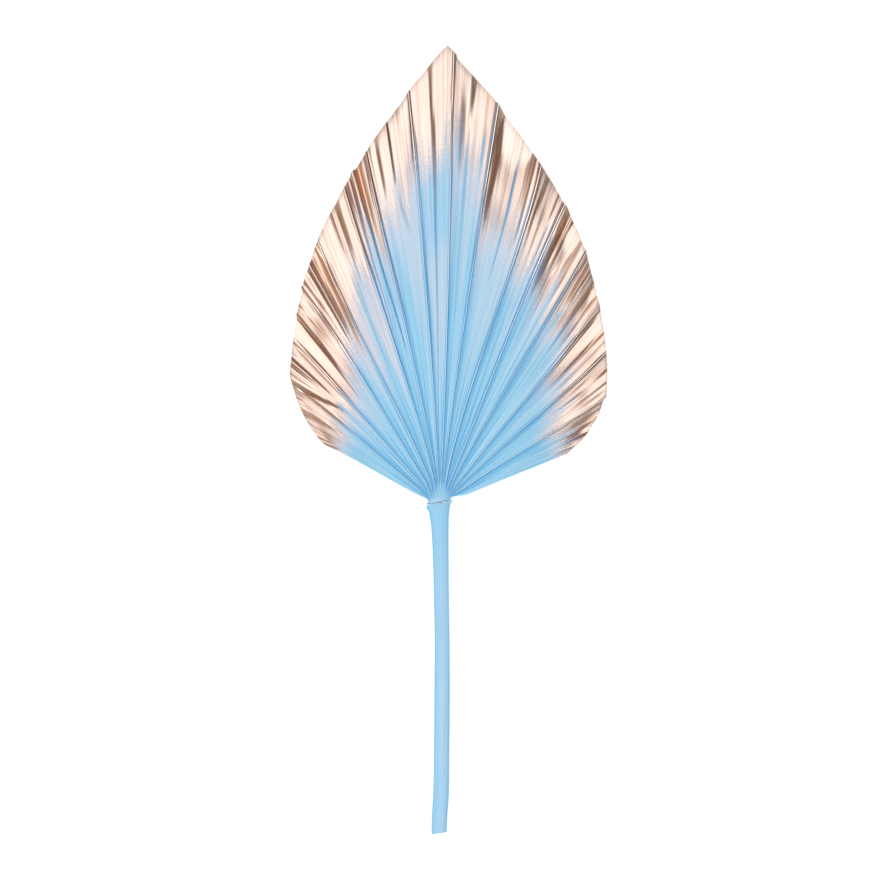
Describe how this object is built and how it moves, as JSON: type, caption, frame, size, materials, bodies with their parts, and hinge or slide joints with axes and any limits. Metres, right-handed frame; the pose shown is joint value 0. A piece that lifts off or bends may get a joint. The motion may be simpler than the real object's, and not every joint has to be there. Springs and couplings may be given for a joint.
{
  "type": "dried palm spear",
  "caption": "Dried fan palm leaf trimmed to a spear: a pleated spade-shaped blade with thin ribs on a cut stalk, lying flat, blue with a copper edge.",
  "frame": {"origin": "on the surface that the leaf lies on, under the middle of the leaf's length and width", "axes": "+Y towards the blade's tip, -Y towards the cut end of the stalk, +Z out of the blade's upper face"},
  "size_m": [0.2018, 0.4998, 0.0123],
  "materials": {
    "blade": "dried leaf sprayed matt light blue, fading into metallic rose copper along the trimmed edge",
    "petiole": "smooth fibrous stalk sprayed matt light blue"
  },
  "bodies": {
    "root": {"blade": "blade", "petiole": "petiole"}
  },
  "joints": []
}
